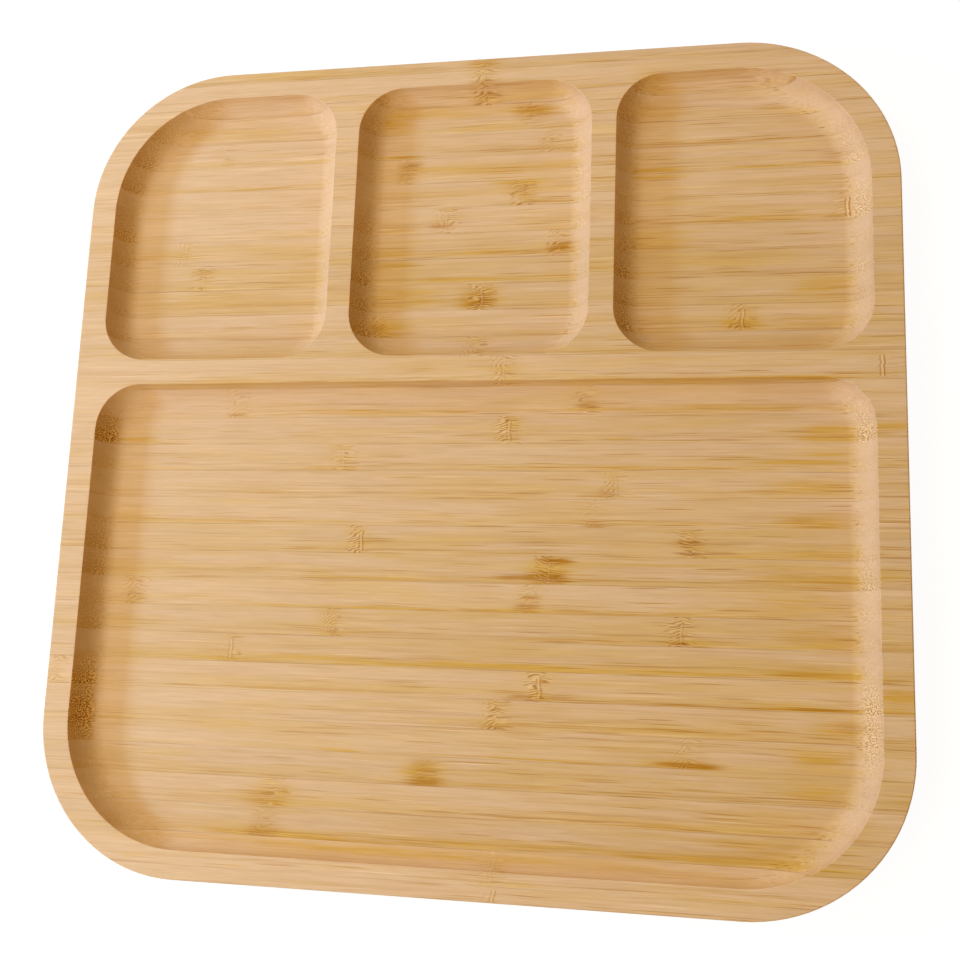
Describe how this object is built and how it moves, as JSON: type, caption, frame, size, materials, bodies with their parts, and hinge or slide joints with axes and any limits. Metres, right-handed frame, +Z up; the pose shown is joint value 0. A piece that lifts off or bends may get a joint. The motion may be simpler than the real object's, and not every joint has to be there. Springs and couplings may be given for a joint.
{
  "type": "divided compartment plate",
  "caption": "Square serving plate of edge-glued bamboo staves, with a wide pocket along the front and smaller pockets along the back.",
  "frame": {"origin": "centre of the flat underside, on the surface that the plate stands on", "axes": "+X along the grain to the right, +Y across the staves from the wide pocket to the small ones, +Z up out of the pockets"},
  "size_m": [0.25, 0.25, 0.015],
  "materials": {
    "bamboo_pale": "oiled satin",
    "bamboo_honey": "oiled satin",
    "bamboo_toasted": "oiled satin"
  },
  "bodies": {
    "root": {"stave_01": "bamboo_pale", "stave_02": "bamboo_honey", "stave_03": "bamboo_honey", "stave_04": "bamboo_pale", "stave_05": "bamboo_honey", "stave_06": "bamboo_honey", "stave_07": "bamboo_pale", "stave_08": "bamboo_honey", "stave_09": "bamboo_toasted", "stave_10": "bamboo_honey", "stave_11": "bamboo_pale", "stave_12": "bamboo_toasted", "stave_13": "bamboo_honey", "stave_14": "bamboo_honey", "stave_15": "bamboo_pale", "stave_16": "bamboo_honey", "stave_17": "bamboo_toasted", "stave_18": "bamboo_honey", "stave_19": "bamboo_pale", "stave_20": "bamboo_honey", "stave_21": "bamboo_honey", "stave_22": "bamboo_toasted", "stave_23": "bamboo_honey", "stave_24": "bamboo_toasted", "stave_25": "bamboo_pale", "stave_26": "bamboo_honey", "stave_27": "bamboo_pale", "stave_28": "bamboo_pale", "stave_29": "bamboo_toasted", "stave_30": "bamboo_honey", "stave_31": "bamboo_toasted"}
  },
  "joints": []
}
